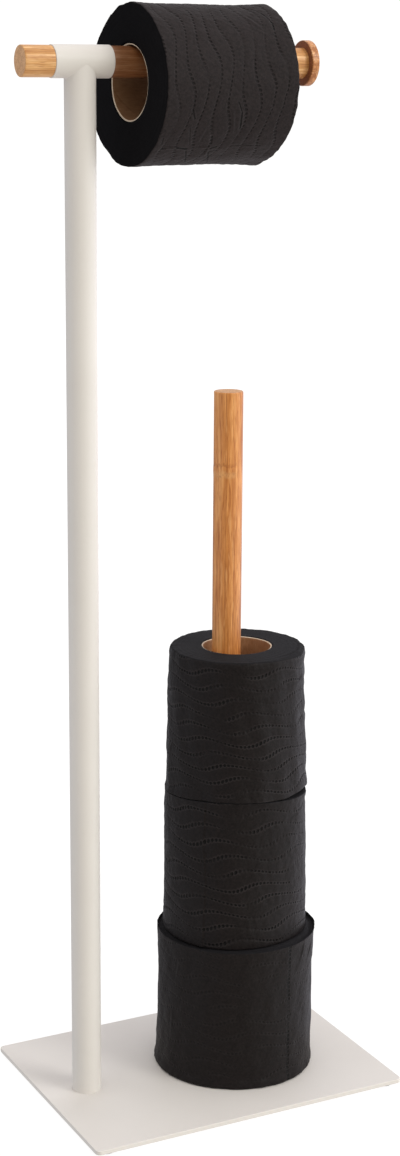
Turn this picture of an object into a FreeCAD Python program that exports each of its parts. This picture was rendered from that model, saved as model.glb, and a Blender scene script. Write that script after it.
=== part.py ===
import FreeCAD, Part
import math
import os

# Free-standing toilet roll holder with a spare-roll store.
# A flat steel base carries a round post with a T-shaped head and a bamboo storage rod.
# A bamboo arm goes through the head; one roll hangs on the arm, three spare rolls stand on the rod.
# Frame: +Z up, floor at Z = 0, origin below the middle of the whole outline.
# +X runs from the post towards the free end of the arm, the long side of the base lies along X.

V = FreeCAD.Vector

# ---------------------------------------------------------------- driving dimensions, mm
# base
PLATE_L = 234.0            # along X
PLATE_W = 171.4            # along Y
PLATE_T = 3.0
PLATE_CORNER_R = 3.5
PLATE_EDGE_R = 0.45
FOOT_D = 15.0
FOOT_H = 1.8
FOOT_INSET = 10.0          # foot centre to both plate edges

# post and head
POST_D = 20.0
POST_WALL = 1.5
POST_FROM_LEFT = 30.9      # post axis to the plate's left edge
ARM_AXIS_H = 690.3         # arm axis above the plate's top face
SLEEVE_D = 20.4
SLEEVE_WALL = 1.7
SLEEVE_L = 39.4            # centred on the post
SLEEVE_RIM_R = 0.5
WELD_R = 2.0               # hollow of the weld between post and sleeve
WELD_HALF_Y = 8.6

# arm, all bamboo
ARM_D = 19.4
PLUG_L = 20.2              # visible length of the closing plug on the left
ARM_FREE_L = 137.7         # visible length of the arm between sleeve and disc
TENON_PLUG_L = 14.0
TENON_ARM_L = 23.0
TENON_GAP = 0.05           # glue gap round the tenons
DISC_D = 29.0
DISC_T = 5.35
DISC_TENON_D = 12.0
DISC_TENON_L = 3.6
WOOD_CHAMFER = 0.6

# storage rod
ROD_D = 19.6
ROD_H = 479.2              # above the plate's top face
ROD_FROM_LEFT = 136.9      # rod axis to the plate's left edge
ROD_BORE_L = 17.0
INSERT_D = 9.0
INSERT_L = 15.0

# M6 countersunk screws from below
SCREW_D = 6.0
SCREW_HEAD_D = 11.6
SCREW_CLEAR_D = 6.6
SCREW_HEX_AF = 4.0
SCREW_HEX_DEPTH = 1.9
POST_SCREW_L = 20.0
ROD_SCREW_L = 16.0
POST_PLUG_L = 24.0
THREAD_GAP = 0.05

# rolls
CORE_R_IN = 23.0
CORE_R_OUT = 24.3
PAPER_GAP = 0.05           # paper winding to core
CORE_RECESS = 0.6          # core end behind the paper's end face
BODY_GAP = 0.3             # between pieces that come apart
HANG_R = 49.6
HANG_X = 110.0             # middle of the hanging roll to the plate's left edge
HANG_L = 94.6
HANG_YAW = 3.6             # degrees that the loose roll stands askew on the arm, seen from above
SPARE_L = 101.0
SPARE_BOTTOM_R = 54.2
SPARE_MIDDLE_R = 49.3
SPARE_TOP_R = 47.7
SPARE_BOTTOM_X = 145.0     # roll axes to the plate's left edge
SPARE_MIDDLE_X = 144.7
SPARE_TOP_X = 145.0
PAPER_RIM_R = 1.2

# ---------------------------------------------------------------- places worked out from them
POST_R = POST_D / 2
SLEEVE_R = SLEEVE_D / 2
ARM_R = ARM_D / 2
ROD_R = ROD_D / 2
ARM_OVERHANG = PLUG_L + SLEEVE_L / 2 - POST_FROM_LEFT   # arm end past the plate's left edge
XL = -(PLATE_L + ARM_OVERHANG) / 2 + ARM_OVERHANG       # plate's left edge
XR = XL + PLATE_L
YF = -PLATE_W / 2
YB = PLATE_W / 2
Z_PLATE = FOOT_H
Z_TOP = FOOT_H + PLATE_T                                # plate's top face
X_POST = XL + POST_FROM_LEFT
Z_ARM = Z_TOP + ARM_AXIS_H
X_SL0 = X_POST - SLEEVE_L / 2
X_SL1 = X_POST + SLEEVE_L / 2
X_ARM0 = X_SL0 - PLUG_L
X_DISC0 = X_SL1 + ARM_FREE_L
X_DISC1 = X_DISC0 + DISC_T
X_ROD = XL + ROD_FROM_LEFT
Z_ROD = Z_TOP + ROD_H
SIDE = HANG_L / 2 * math.sin(math.radians(HANG_YAW))    # sideways run of the skew roll over half its length
Z_HANG = Z_ARM - math.sqrt((CORE_R_IN - ARM_R - BODY_GAP) ** 2 - SIDE ** 2)   # the core's inner top rests on the arm
BORE_R = SLEEVE_R - SLEEVE_WALL                         # sleeve's inner radius
TENON_R = BORE_R - TENON_GAP
POST_BORE_R = POST_R - POST_WALL

os.makedirs("parts", exist_ok=True)
made = {}


def zcyl(r, z0, z1, x=0.0, y=0.0):
    return Part.makeCylinder(r, z1 - z0, V(x, y, z0), V(0, 0, 1))


def xcyl(r, x0, x1, y=0.0, z=0.0):
    return Part.makeCylinder(r, x1 - x0, V(x0, y, z), V(1, 0, 0))


def revolved(profile, x=0.0, y=0.0, z=0.0):
    """Solid turned about a vertical axis from (radius, height) points."""
    pts = [V(r, 0, h) for r, h in profile]
    wire = Part.makePolygon(pts + [pts[0]])
    solid = Part.Face(wire).revolve(V(0, 0, 0), V(0, 0, 1), 360)
    solid.translate(V(x, y, z))
    return solid


def revolved_x(profile, x=0.0, y=0.0, z=0.0):
    """Solid turned about a horizontal axis along X from (radius, distance along X) points."""
    pts = [V(h, 0, r) for r, h in profile]
    wire = Part.makePolygon(pts + [pts[0]])
    solid = Part.Face(wire).revolve(V(0, 0, 0), V(1, 0, 0), 360)
    solid.translate(V(x, y, z))
    return solid


def as_solid(shape):
    """The one solid of a shape, turned right side out."""
    s = shape.Solids[0] if shape.Solids else Part.Solid(shape)
    if s.Volume < 0:
        s.reverse()
    return s


def keep(name, shape):
    solids = [as_solid(Part.Shape(s)) if s.Volume < 0 else s for s in shape.Solids]
    out = solids[0] if len(solids) == 1 else Part.makeCompound(solids)
    made[name] = out
    out.exportStep("parts/" + name + ".step")


def hexagon(af, depth, x, y, z):
    """Hexagonal prism with the given width across flats, going up from z."""
    rad = af / math.sqrt(3.0)
    pts = [V(x + rad * math.cos(math.radians(60 * i)), y + rad * math.sin(math.radians(60 * i)), z) for i in range(7)]
    pts[6] = pts[0]
    return Part.Face(Part.makePolygon(pts)).extrude(V(0, 0, depth))


# ---------------------------------------------------------------- base plate
SINK_R = SCREW_HEAD_D / 2 + 0.4
SINK_H = SINK_R - SCREW_CLEAR_D / 2                     # 90 degree countersink

plate = Part.makeBox(PLATE_L, PLATE_W, PLATE_T, V(XL, YF, Z_PLATE))
upright = [e for e in plate.Edges if abs(e.Vertexes[0].Z - e.Vertexes[1].Z) > 1.0]
plate = plate.makeFillet(PLATE_CORNER_R, upright)
rim = [e for e in plate.Edges if abs(e.BoundBox.ZMax - e.BoundBox.ZMin) < 1e-4]
plate = plate.makeFillet(PLATE_EDGE_R, rim)
for x in (X_POST, X_ROD):
    plate = plate.cut(zcyl(SCREW_CLEAR_D / 2, Z_PLATE - 1, Z_TOP + 1, x))
    plate = plate.cut(revolved([(0, -0.01), (SINK_R + 0.01, -0.01), (SCREW_CLEAR_D / 2, SINK_H), (0, SINK_H)], x, 0, Z_PLATE))
keep("base_plate", plate)

# ---------------------------------------------------------------- feet, stuck under the corners
for name, fx, fy in (
    ("foot_front_left", XL + FOOT_INSET, YF + FOOT_INSET),
    ("foot_front_right", XR - FOOT_INSET, YF + FOOT_INSET),
    ("foot_rear_left", XL + FOOT_INSET, YB - FOOT_INSET),
    ("foot_rear_right", XR - FOOT_INSET, YB - FOOT_INSET),
):
    foot = zcyl(FOOT_D / 2, 0, FOOT_H, fx, fy)
    low = [e for e in foot.Edges if e.BoundBox.ZMax < 0.01]
    keep(name, foot.makeFillet(0.5, low))

# ---------------------------------------------------------------- post: tube with a hollowed upper end that sits on the sleeve
post = zcyl(POST_R, Z_TOP, Z_ARM, X_POST).cut(zcyl(POST_BORE_R, Z_TOP - 1, Z_ARM + 1, X_POST))
post = post.cut(xcyl(SLEEVE_R, X_POST - 40, X_POST + 40, 0, Z_ARM))
keep("post_tube", post)

# threaded plug in the foot of the post
post_plug = zcyl(POST_BORE_R, Z_TOP, Z_TOP + POST_PLUG_L, X_POST)
top_edge = [e for e in post_plug.Edges if e.BoundBox.ZMin > Z_TOP + POST_PLUG_L - 0.01]
post_plug = post_plug.makeChamfer(0.8, top_edge)
post_plug = post_plug.cut(zcyl(SCREW_D / 2, Z_TOP - 1, Z_TOP + POST_PLUG_L + 1, X_POST))
keep("post_threaded_plug", post_plug)


def countersunk_screw(length, x):
    """Countersunk screw, head flush with the underside of the plate, point upwards."""
    r = SCREW_D / 2 - THREAD_GAP
    body = revolved(
        [(0, 0.05), (SCREW_HEAD_D / 2 - 0.05, 0.05), (SCREW_HEAD_D / 2, 0.35), (r, 0.35 + SCREW_HEAD_D / 2 - r),
         (r, length - 0.8), (r - 0.8, length), (0, length)],
        x, 0, Z_PLATE,
    )
    return body.cut(hexagon(SCREW_HEX_AF, SCREW_HEX_DEPTH, x, 0, Z_PLATE))


keep("post_screw", countersunk_screw(POST_SCREW_L, X_POST))

# ---------------------------------------------------------------- head: sleeve across the top of the post
sleeve = xcyl(SLEEVE_R, X_SL0, X_SL1, 0, Z_ARM).cut(xcyl(BORE_R, X_SL0 - 1, X_SL1 + 1, 0, Z_ARM))
outer_rims = [e for e in sleeve.Edges if hasattr(e.Curve, "Radius") and abs(e.Curve.Radius - SLEEVE_R) < 1e-6 and e.BoundBox.XLength < 1e-4]
sleeve = sleeve.makeFillet(SLEEVE_RIM_R, outer_rims)
keep("arm_sleeve", sleeve)

# weld: a hollow bead in the two throats between sleeve and post
full_post = zcyl(POST_R, Z_ARM - 60, Z_ARM, X_POST)
full_sleeve = xcyl(SLEEVE_R, X_POST - 40, X_POST + 40, 0, Z_ARM)
joined = full_post.fuse(full_sleeve)
seam = [e for e in joined.Edges if e.BoundBox.YLength > 5 and e.BoundBox.ZLength > 2 and e.BoundBox.XLength < 2 * POST_R + 0.1
        and e.BoundBox.ZMax < Z_ARM - 0.5 and e.BoundBox.ZMin > Z_ARM - SLEEVE_R - 0.5]
bead = joined.makeFillet(WELD_R, seam).cut(full_post).cut(full_sleeve)
bead = bead.common(Part.makeBox(80, 2 * WELD_HALF_Y, 80, V(X_POST - 40, -WELD_HALF_Y, Z_ARM - 60)))
keep("head_weld", bead)

# ---------------------------------------------------------------- arm: bamboo plug, bamboo rod and stop disc
keep("arm_end_plug", revolved_x(
    [(0, 0), (ARM_R - WOOD_CHAMFER, 0), (ARM_R, WOOD_CHAMFER), (ARM_R, PLUG_L), (TENON_R, PLUG_L),
     (TENON_R, PLUG_L + TENON_PLUG_L - 0.8), (TENON_R - 0.8, PLUG_L + TENON_PLUG_L), (0, PLUG_L + TENON_PLUG_L)],
    X_ARM0, 0, Z_ARM))

keep("arm_rod", revolved_x(
    [(0, -TENON_ARM_L), (TENON_R - 0.8, -TENON_ARM_L), (TENON_R, -TENON_ARM_L + 0.8), (TENON_R, 0), (ARM_R, 0),
     (ARM_R, ARM_FREE_L), (DISC_TENON_D / 2, ARM_FREE_L), (DISC_TENON_D / 2, ARM_FREE_L + DISC_TENON_L), (0, ARM_FREE_L + DISC_TENON_L)],
    X_SL1, 0, Z_ARM))

c = WOOD_CHAMFER
keep("arm_stop_disc", revolved_x(
    [(DISC_TENON_D / 2 + TENON_GAP, 0), (DISC_D / 2 - c, 0), (DISC_D / 2, c), (DISC_D / 2, DISC_T - c), (DISC_D / 2 - c, DISC_T),
     (0, DISC_T), (0, DISC_TENON_L + 0.2), (DISC_TENON_D / 2 + TENON_GAP, DISC_TENON_L + 0.2)],
    X_DISC0, 0, Z_ARM))

# ---------------------------------------------------------------- storage rod, with a threaded insert in its foot
keep("storage_rod", revolved(
    [(INSERT_D / 2, 0), (ROD_R, 0), (ROD_R, ROD_H - c), (ROD_R - c, ROD_H), (0, ROD_H), (0, ROD_BORE_L), (INSERT_D / 2, ROD_BORE_L)],
    X_ROD, 0, Z_TOP))
r_in = SCREW_D / 2
r_ex = INSERT_D / 2
keep("storage_rod_insert", revolved(
    [(r_in, 0.1), (r_ex, 0.1), (r_ex, 4.0), (r_ex - 0.6, 4.6), (r_ex - 0.6, 5.6), (r_ex, 6.2), (r_ex, 9.0), (r_ex - 0.6, 9.6),
     (r_ex - 0.6, 10.6), (r_ex, 11.2), (r_ex, INSERT_L - 0.6), (r_ex - 0.6, INSERT_L), (r_in, INSERT_L)],
    X_ROD, 0, Z_TOP))
keep("storage_rod_screw", countersunk_screw(ROD_SCREW_L, X_ROD))


# ---------------------------------------------------------------- rolls: wound paper on a cardboard core
def roll_profile(r, length):
    k = PAPER_RIM_R
    ri = CORE_R_OUT + PAPER_GAP
    steps = 5
    pts = [(ri, 0)]
    for i in range(steps + 1):
        a = math.pi / 2 * i / steps
        pts.append((r - k + k * math.sin(a), k - k * math.cos(a)))
    for i in range(steps + 1):
        a = math.pi / 2 * i / steps
        pts.append((r - k + k * math.cos(a), length - k + k * math.sin(a)))
    pts.append((ri, length))
    return pts


def core_profile(length):
    return [(CORE_R_IN, CORE_RECESS), (CORE_R_OUT, CORE_RECESS), (CORE_R_OUT, length - CORE_RECESS), (CORE_R_IN, length - CORE_RECESS)]


def skew(shape):
    shape.rotate(V(XL + HANG_X, 0, Z_HANG), V(0, 0, 1), HANG_YAW)
    return shape


keep("hanging_roll_paper", skew(revolved_x(roll_profile(HANG_R, HANG_L), XL + HANG_X - HANG_L / 2, 0, Z_HANG)))
keep("hanging_roll_core", skew(revolved_x(core_profile(HANG_L), XL + HANG_X - HANG_L / 2, 0, Z_HANG)))

z = Z_TOP + BODY_GAP
for name, r, x in (
    ("spare_roll_bottom", SPARE_BOTTOM_R, SPARE_BOTTOM_X),
    ("spare_roll_middle", SPARE_MIDDLE_R, SPARE_MIDDLE_X),
    ("spare_roll_top", SPARE_TOP_R, SPARE_TOP_X),
):
    keep(name + "_paper", revolved(roll_profile(r, SPARE_L), XL + x, 0, z))
    keep(name + "_core", revolved(core_profile(SPARE_L), XL + x, 0, z))
    z += SPARE_L + BODY_GAP

# ---------------------------------------------------------------- summary
lo = [1e9] * 3
hi = [-1e9] * 3
for name, s in made.items():
    b = s.BoundBox
    lo = [min(a, q) for a, q in zip(lo, (b.XMin, b.YMin, b.ZMin))]
    hi = [max(a, q) for a, q in zip(hi, (b.XMax, b.YMax, b.ZMax))]
    print(name, "solids", len(s.Solids), "volume", round(s.Volume, 2), "valid", s.isValid())
print("box", [round(v, 3) for v in lo], [round(v, 3) for v in hi])
print("plate left edge", round(XL, 3), "post x", round(X_POST, 3), "rod x", round(X_ROD, 3), "arm z", round(Z_ARM, 3),
      "hanging roll axis z", round(Z_HANG, 3), "rod top", round(Z_ROD, 3), "stack top", round(z - BODY_GAP, 3))
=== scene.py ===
import math

import bpy
import numpy as np
from mathutils import Matrix, Vector


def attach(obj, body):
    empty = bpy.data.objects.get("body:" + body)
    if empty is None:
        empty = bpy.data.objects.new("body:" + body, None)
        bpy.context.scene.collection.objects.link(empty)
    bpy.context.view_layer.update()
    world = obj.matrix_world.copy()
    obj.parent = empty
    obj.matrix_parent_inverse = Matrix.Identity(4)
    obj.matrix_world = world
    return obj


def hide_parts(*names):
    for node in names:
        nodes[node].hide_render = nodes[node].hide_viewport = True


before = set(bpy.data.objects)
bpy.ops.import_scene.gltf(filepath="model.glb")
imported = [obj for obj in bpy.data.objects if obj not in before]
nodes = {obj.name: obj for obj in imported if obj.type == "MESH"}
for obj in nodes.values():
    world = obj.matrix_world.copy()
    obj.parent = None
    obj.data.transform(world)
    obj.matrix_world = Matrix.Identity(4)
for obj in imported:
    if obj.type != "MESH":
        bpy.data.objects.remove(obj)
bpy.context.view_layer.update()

scene = bpy.context.scene
MM = 0.001

# ---------------------------------------------------------------- sizes, mm, as in the construction
X_POST, POST_R, Z_TOP = -81.6, 10.0, 4.8
Z_ARM, SLEEVE_R, X_SL0, X_SL1 = 695.1, 10.2, -101.3, -61.9
ARM_R, PLUG_L, ARM_FREE_L, TENON_R = 9.7, 20.2, 137.7, 8.45
X_ARM0, X_DISC0 = -121.5, 75.8
DISC_R, DISC_T, DISC_TENON_R, DISC_TENON_L = 14.5, 5.35, 6.0, 3.6
X_ROD, ROD_R, ROD_H = 24.4, 9.8, 479.2
CORE_IN, CORE_OUT = 23.0, 24.3
HANG_C, HANG_R, HANG_L, HANG_YAW = (-2.5, 0.0, 682.444), 49.6, 94.6, math.radians(3.6)
SPARE_L = 101.0
TAU = 2 * math.pi


# ---------------------------------------------------------------- camera
def make_camera():
    az, el, roll = math.radians(-27.176), math.radians(13.508), math.radians(0.364)
    back = Vector((math.sin(az) * math.cos(el), -math.cos(az) * math.cos(el), math.sin(el)))
    right = (-back).cross(Vector((0, 0, 1))).normalized()
    up = right.cross(-back)
    r2 = right * math.cos(roll) + up * math.sin(roll)
    u2 = up * math.cos(roll) - right * math.sin(roll)
    data = bpy.data.cameras.new("photo_camera")
    data.sensor_fit = "AUTO"
    data.sensor_width = 36.0
    data.lens = 2110.36 * 36.0 / 1156.0
    data.clip_start, data.clip_end = 0.05, 60.0
    cam = bpy.data.objects.new("photo_camera", data)
    scene.collection.objects.link(cam)
    at = Vector((-0.62535, -1.22578, 0.68976))
    cam.matrix_world = Matrix(((r2.x, u2.x, back.x, at.x), (r2.y, u2.y, back.y, at.y), (r2.z, u2.z, back.z, at.z), (0, 0, 0, 1)))
    scene.camera = cam


# ---------------------------------------------------------------- light and floor
# soft surround, a sum of broad lobes: degrees to the right of straight in front (or up, down), colour
LOBES = ((0, (0.40, 0.36, 0.23)), (45, (1.16, 1.22, 1.22)), (90, (1.04, 1.00, 1.08)), (135, (0.76, 0.80, 0.94)),
         (180, (0.16, 0.16, 0.165)), (225, (0.27, 0.29, 0.32)), (270, (0.85, 0.92, 0.99)), (315, (0.10, 0.06, 0.02)),
         ("up", (1.48, 1.41, 1.38)), ("down", (1.13, 1.02, 0.98)))
# soft lamp: degrees to the right of straight in front, degrees above the horizon, strength, angular size
KEY = (33.0, 30.0, 0.97, 22.0)


def towards(azim, elev):
    a, e = math.radians(azim), math.radians(elev)
    return Vector((math.sin(a) * math.cos(e), -math.cos(a) * math.cos(e), math.sin(e)))


def make_studio():
    scene.view_settings.view_transform = "Standard"
    scene.view_settings.look = "None"
    world = bpy.data.worlds.new("studio")
    scene.world = world
    world.use_nodes = True
    t = world.node_tree
    coord = t.nodes.new("ShaderNodeTexCoord")
    total = None
    for way, colour in LOBES:
        axis = {"up": (0, 0, 1), "down": (0, 0, -1)}.get(way) or tuple(towards(way, 0.0))
        dot = t.nodes.new("ShaderNodeVectorMath")
        dot.operation = "DOT_PRODUCT"
        dot.inputs[1].default_value = axis
        t.links.new(coord.outputs["Generated"], dot.inputs[0])
        facing = t.nodes.new("ShaderNodeMath")
        facing.operation = "MAXIMUM"
        facing.inputs[1].default_value = 0.0
        t.links.new(dot.outputs["Value"], facing.inputs[0])
        narrow = t.nodes.new("ShaderNodeMath")
        narrow.operation = "POWER"
        narrow.inputs[1].default_value = 2.0 if axis[2] else 4.0
        t.links.new(facing.outputs[0], narrow.inputs[0])
        lit = t.nodes.new("ShaderNodeVectorMath")
        lit.operation = "SCALE"
        lit.inputs[0].default_value = colour
        t.links.new(narrow.outputs[0], lit.inputs["Scale"])
        if total is None:
            total = lit.outputs["Vector"]
        else:
            both = t.nodes.new("ShaderNodeVectorMath")
            t.links.new(total, both.inputs[0])
            t.links.new(lit.outputs["Vector"], both.inputs[1])
            total = both.outputs["Vector"]
    t.links.new(total, t.nodes["Background"].inputs["Color"])

    azim, elev, energy, angle = KEY
    sun = bpy.data.lights.new("key", "SUN")
    sun.energy = energy
    sun.angle = math.radians(angle)
    sun.color = (1.0, 0.99, 0.97)
    lamp = bpy.data.objects.new("key", sun)
    lamp.rotation_mode = "QUATERNION"
    lamp.rotation_quaternion = towards(azim, elev).to_track_quat("Z", "Y")
    scene.collection.objects.link(lamp)

    # pale floor and a round backdrop far behind it
    m = Shade("floor_white")
    m.set(("Roughness", 0.9), ("Specular IOR Level", 0.1), ("Emission Color", (1.0, 0.998, 0.995, 1)), ("Emission Strength", 0.90))
    tone = m.noise(m.coords("Object"), 3.0, 3)
    m.to("Base Color", m.ramp(tone, [(0.3, (0.15, 0.15, 0.148)), (0.7, (0.17, 0.17, 0.168))]))
    far, n = 5.6, 96
    co, faces = [(0.0, 0.0, 0.0)], []
    rings = [(0.25, 0.0), (1.0, 0.0), (2.6, 0.0), (far - 0.6, 0.0), (far - 0.2, 0.1), (far, 0.6), (far, 2.5), (far, 6.0)]
    for r, h in rings:
        co += [(r * math.cos(TAU * i / n), r * math.sin(TAU * i / n), h) for i in range(n)]
    for i in range(n):
        j = (i + 1) % n
        faces.append((0, 1 + i, 1 + j))
        faces += [(1 + k * n + i, 1 + (k + 1) * n + i, 1 + (k + 1) * n + j, 1 + k * n + j) for k in range(len(rings) - 1)]
    mesh = bpy.data.meshes.new("floor")
    mesh.from_pydata(co, [], faces)
    floor = bpy.data.objects.new("floor", mesh)
    floor.location.z = -0.0002
    floor.visible_glossy = floor.visible_diffuse = floor.visible_shadow = False
    floor.data.materials.append(m.material)
    scene.collection.objects.link(floor)


# ---------------------------------------------------------------- material nodes
class Shade:
    """A principled material and short names for the nodes that feed it."""

    def __init__(self, name):
        self.material = bpy.data.materials.new(name)
        self.material.use_nodes = True
        self.tree = self.material.node_tree
        self.tree.nodes.clear()
        self.out = self.node("ShaderNodeOutputMaterial")
        self.bsdf = self.node("ShaderNodeBsdfPrincipled")
        self.link(self.bsdf.outputs["BSDF"], self.out.inputs["Surface"])
        self.known = {}

    def node(self, kind, **props):
        n = self.tree.nodes.new(kind)
        for k, v in props.items():
            setattr(n, k, v)
        return n

    def link(self, a, b):
        self.tree.links.new(a, b)

    def put(self, socket, value):
        if hasattr(value, "is_output"):
            self.link(value, socket)
        elif isinstance(value, (tuple, list)) and len(value) == 3 and socket.type == "RGBA":
            socket.default_value = (*value, 1)
        else:
            socket.default_value = value

    def set(self, *pairs):
        for name, value in pairs:
            self.bsdf.inputs[name].default_value = value

    def to(self, name, output):
        self.link(output, self.bsdf.inputs[name])

    def coords(self, which):
        if "coords" not in self.known:
            self.known["coords"] = self.node("ShaderNodeTexCoord")
        return self.known["coords"].outputs[which]

    def uv(self, name):
        return self.node("ShaderNodeUVMap", uv_map=name).outputs["UV"]

    def math(self, op, a, b=None, c=None, clamp=False):
        n = self.node("ShaderNodeMath", operation=op, use_clamp=clamp)
        for i, v in enumerate((a, b, c)):
            if v is not None:
                self.put(n.inputs[i], v)
        return n.outputs[0]

    def vec(self, op, a, b=None):
        n = self.node("ShaderNodeVectorMath", operation=op)
        self.put(n.inputs[0], a)
        if b is not None:
            self.put(n.inputs[1], b)
        return n.outputs["Vector"]

    def split(self, v):
        n = self.node("ShaderNodeSeparateXYZ")
        self.link(v, n.inputs[0])
        return n.outputs

    def join(self, x, y, z):
        n = self.node("ShaderNodeCombineXYZ")
        for i, v in enumerate((x, y, z)):
            self.put(n.inputs[i], v)
        return n.outputs[0]

    def noise(self, vector, scale, detail=2.0, rough=0.5, distortion=0.0):
        n = self.node("ShaderNodeTexNoise")
        self.link(vector, n.inputs["Vector"])
        n.inputs["Scale"].default_value = scale
        n.inputs["Detail"].default_value = detail
        n.inputs["Roughness"].default_value = rough
        n.inputs["Distortion"].default_value = distortion
        return n.outputs["Fac"]

    def voronoi(self, vector, scale, feature="F1", randomness=1.0, out="Distance"):
        n = self.node("ShaderNodeTexVoronoi", feature=feature)
        self.link(vector, n.inputs["Vector"])
        n.inputs["Scale"].default_value = scale
        n.inputs["Randomness"].default_value = randomness
        return n.outputs[out]

    def ramp(self, fac, stops, how="LINEAR"):
        n = self.node("ShaderNodeValToRGB")
        n.color_ramp.interpolation = how
        e = n.color_ramp.elements
        while len(e) < len(stops):
            e.new(0.5)
        for i, (p, c) in enumerate(stops):
            e[i].position = p
            e[i].color = (c, c, c, 1) if isinstance(c, (int, float)) else (*c, 1)
        self.link(fac, n.inputs["Fac"])
        return n.outputs["Color"]

    def span(self, v, a0, a1, b0=0.0, b1=1.0, smooth=True):
        n = self.node("ShaderNodeMapRange", interpolation_type="SMOOTHSTEP" if smooth else "LINEAR")
        for i, x in enumerate((v, a0, a1, b0, b1)):
            self.put(n.inputs[i], x)
        return n.outputs[0]

    def mix(self, fac, a, b, blend="MIX"):
        n = self.node("ShaderNodeMix", data_type="RGBA", blend_type=blend, clamp_factor=True)
        self.put(n.inputs["Factor"], fac)
        socks = [s for s in n.inputs if s.type == "RGBA"]
        self.put(socks[0], a)
        self.put(socks[1], b)
        return [s for s in n.outputs if s.type == "RGBA"][0]

    def bump(self, height, distance, strength=1.0, normal=None):
        n = self.node("ShaderNodeBump")
        n.inputs["Strength"].default_value = strength
        n.inputs["Distance"].default_value = distance
        self.link(height, n.inputs["Height"])
        if normal is not None:
            self.link(normal, n.inputs["Normal"])
        return n.outputs["Normal"]


def powder_coat():
    """Warm white satin powder coat with the fine skin of sprayed powder."""
    m = Shade("white_powder_coat")
    m.set(("Specular IOR Level", 0.42), ("Coat Weight", 0.0))
    p = m.coords("Object")
    cloud = m.noise(p, 14.0, 4, 0.55)
    fine = m.noise(p, 900.0, 3, 0.6)
    speck = m.span(m.noise(p, 420.0, 2, 0.5), 0.66, 0.74)
    col = m.ramp(cloud, [(0.25, (0.690, 0.660, 0.625)), (0.75, (0.730, 0.700, 0.664))])
    col = m.mix(m.math("MULTIPLY", fine, 0.10), col, (0.80, 0.78, 0.755))
    col = m.mix(m.math("MULTIPLY", speck, 0.05), col, (0.45, 0.43, 0.41))
    m.to("Base Color", col)
    m.to("Roughness", m.span(fine, 0.25, 0.8, 0.44, 0.60))
    skin = m.math("ADD", m.math("MULTIPLY", m.noise(p, 520.0, 2, 0.5), 0.7), m.math("MULTIPLY", fine, 0.3))
    m.to("Normal", m.bump(skin, 0.00006, 0.35))
    return m.material


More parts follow.
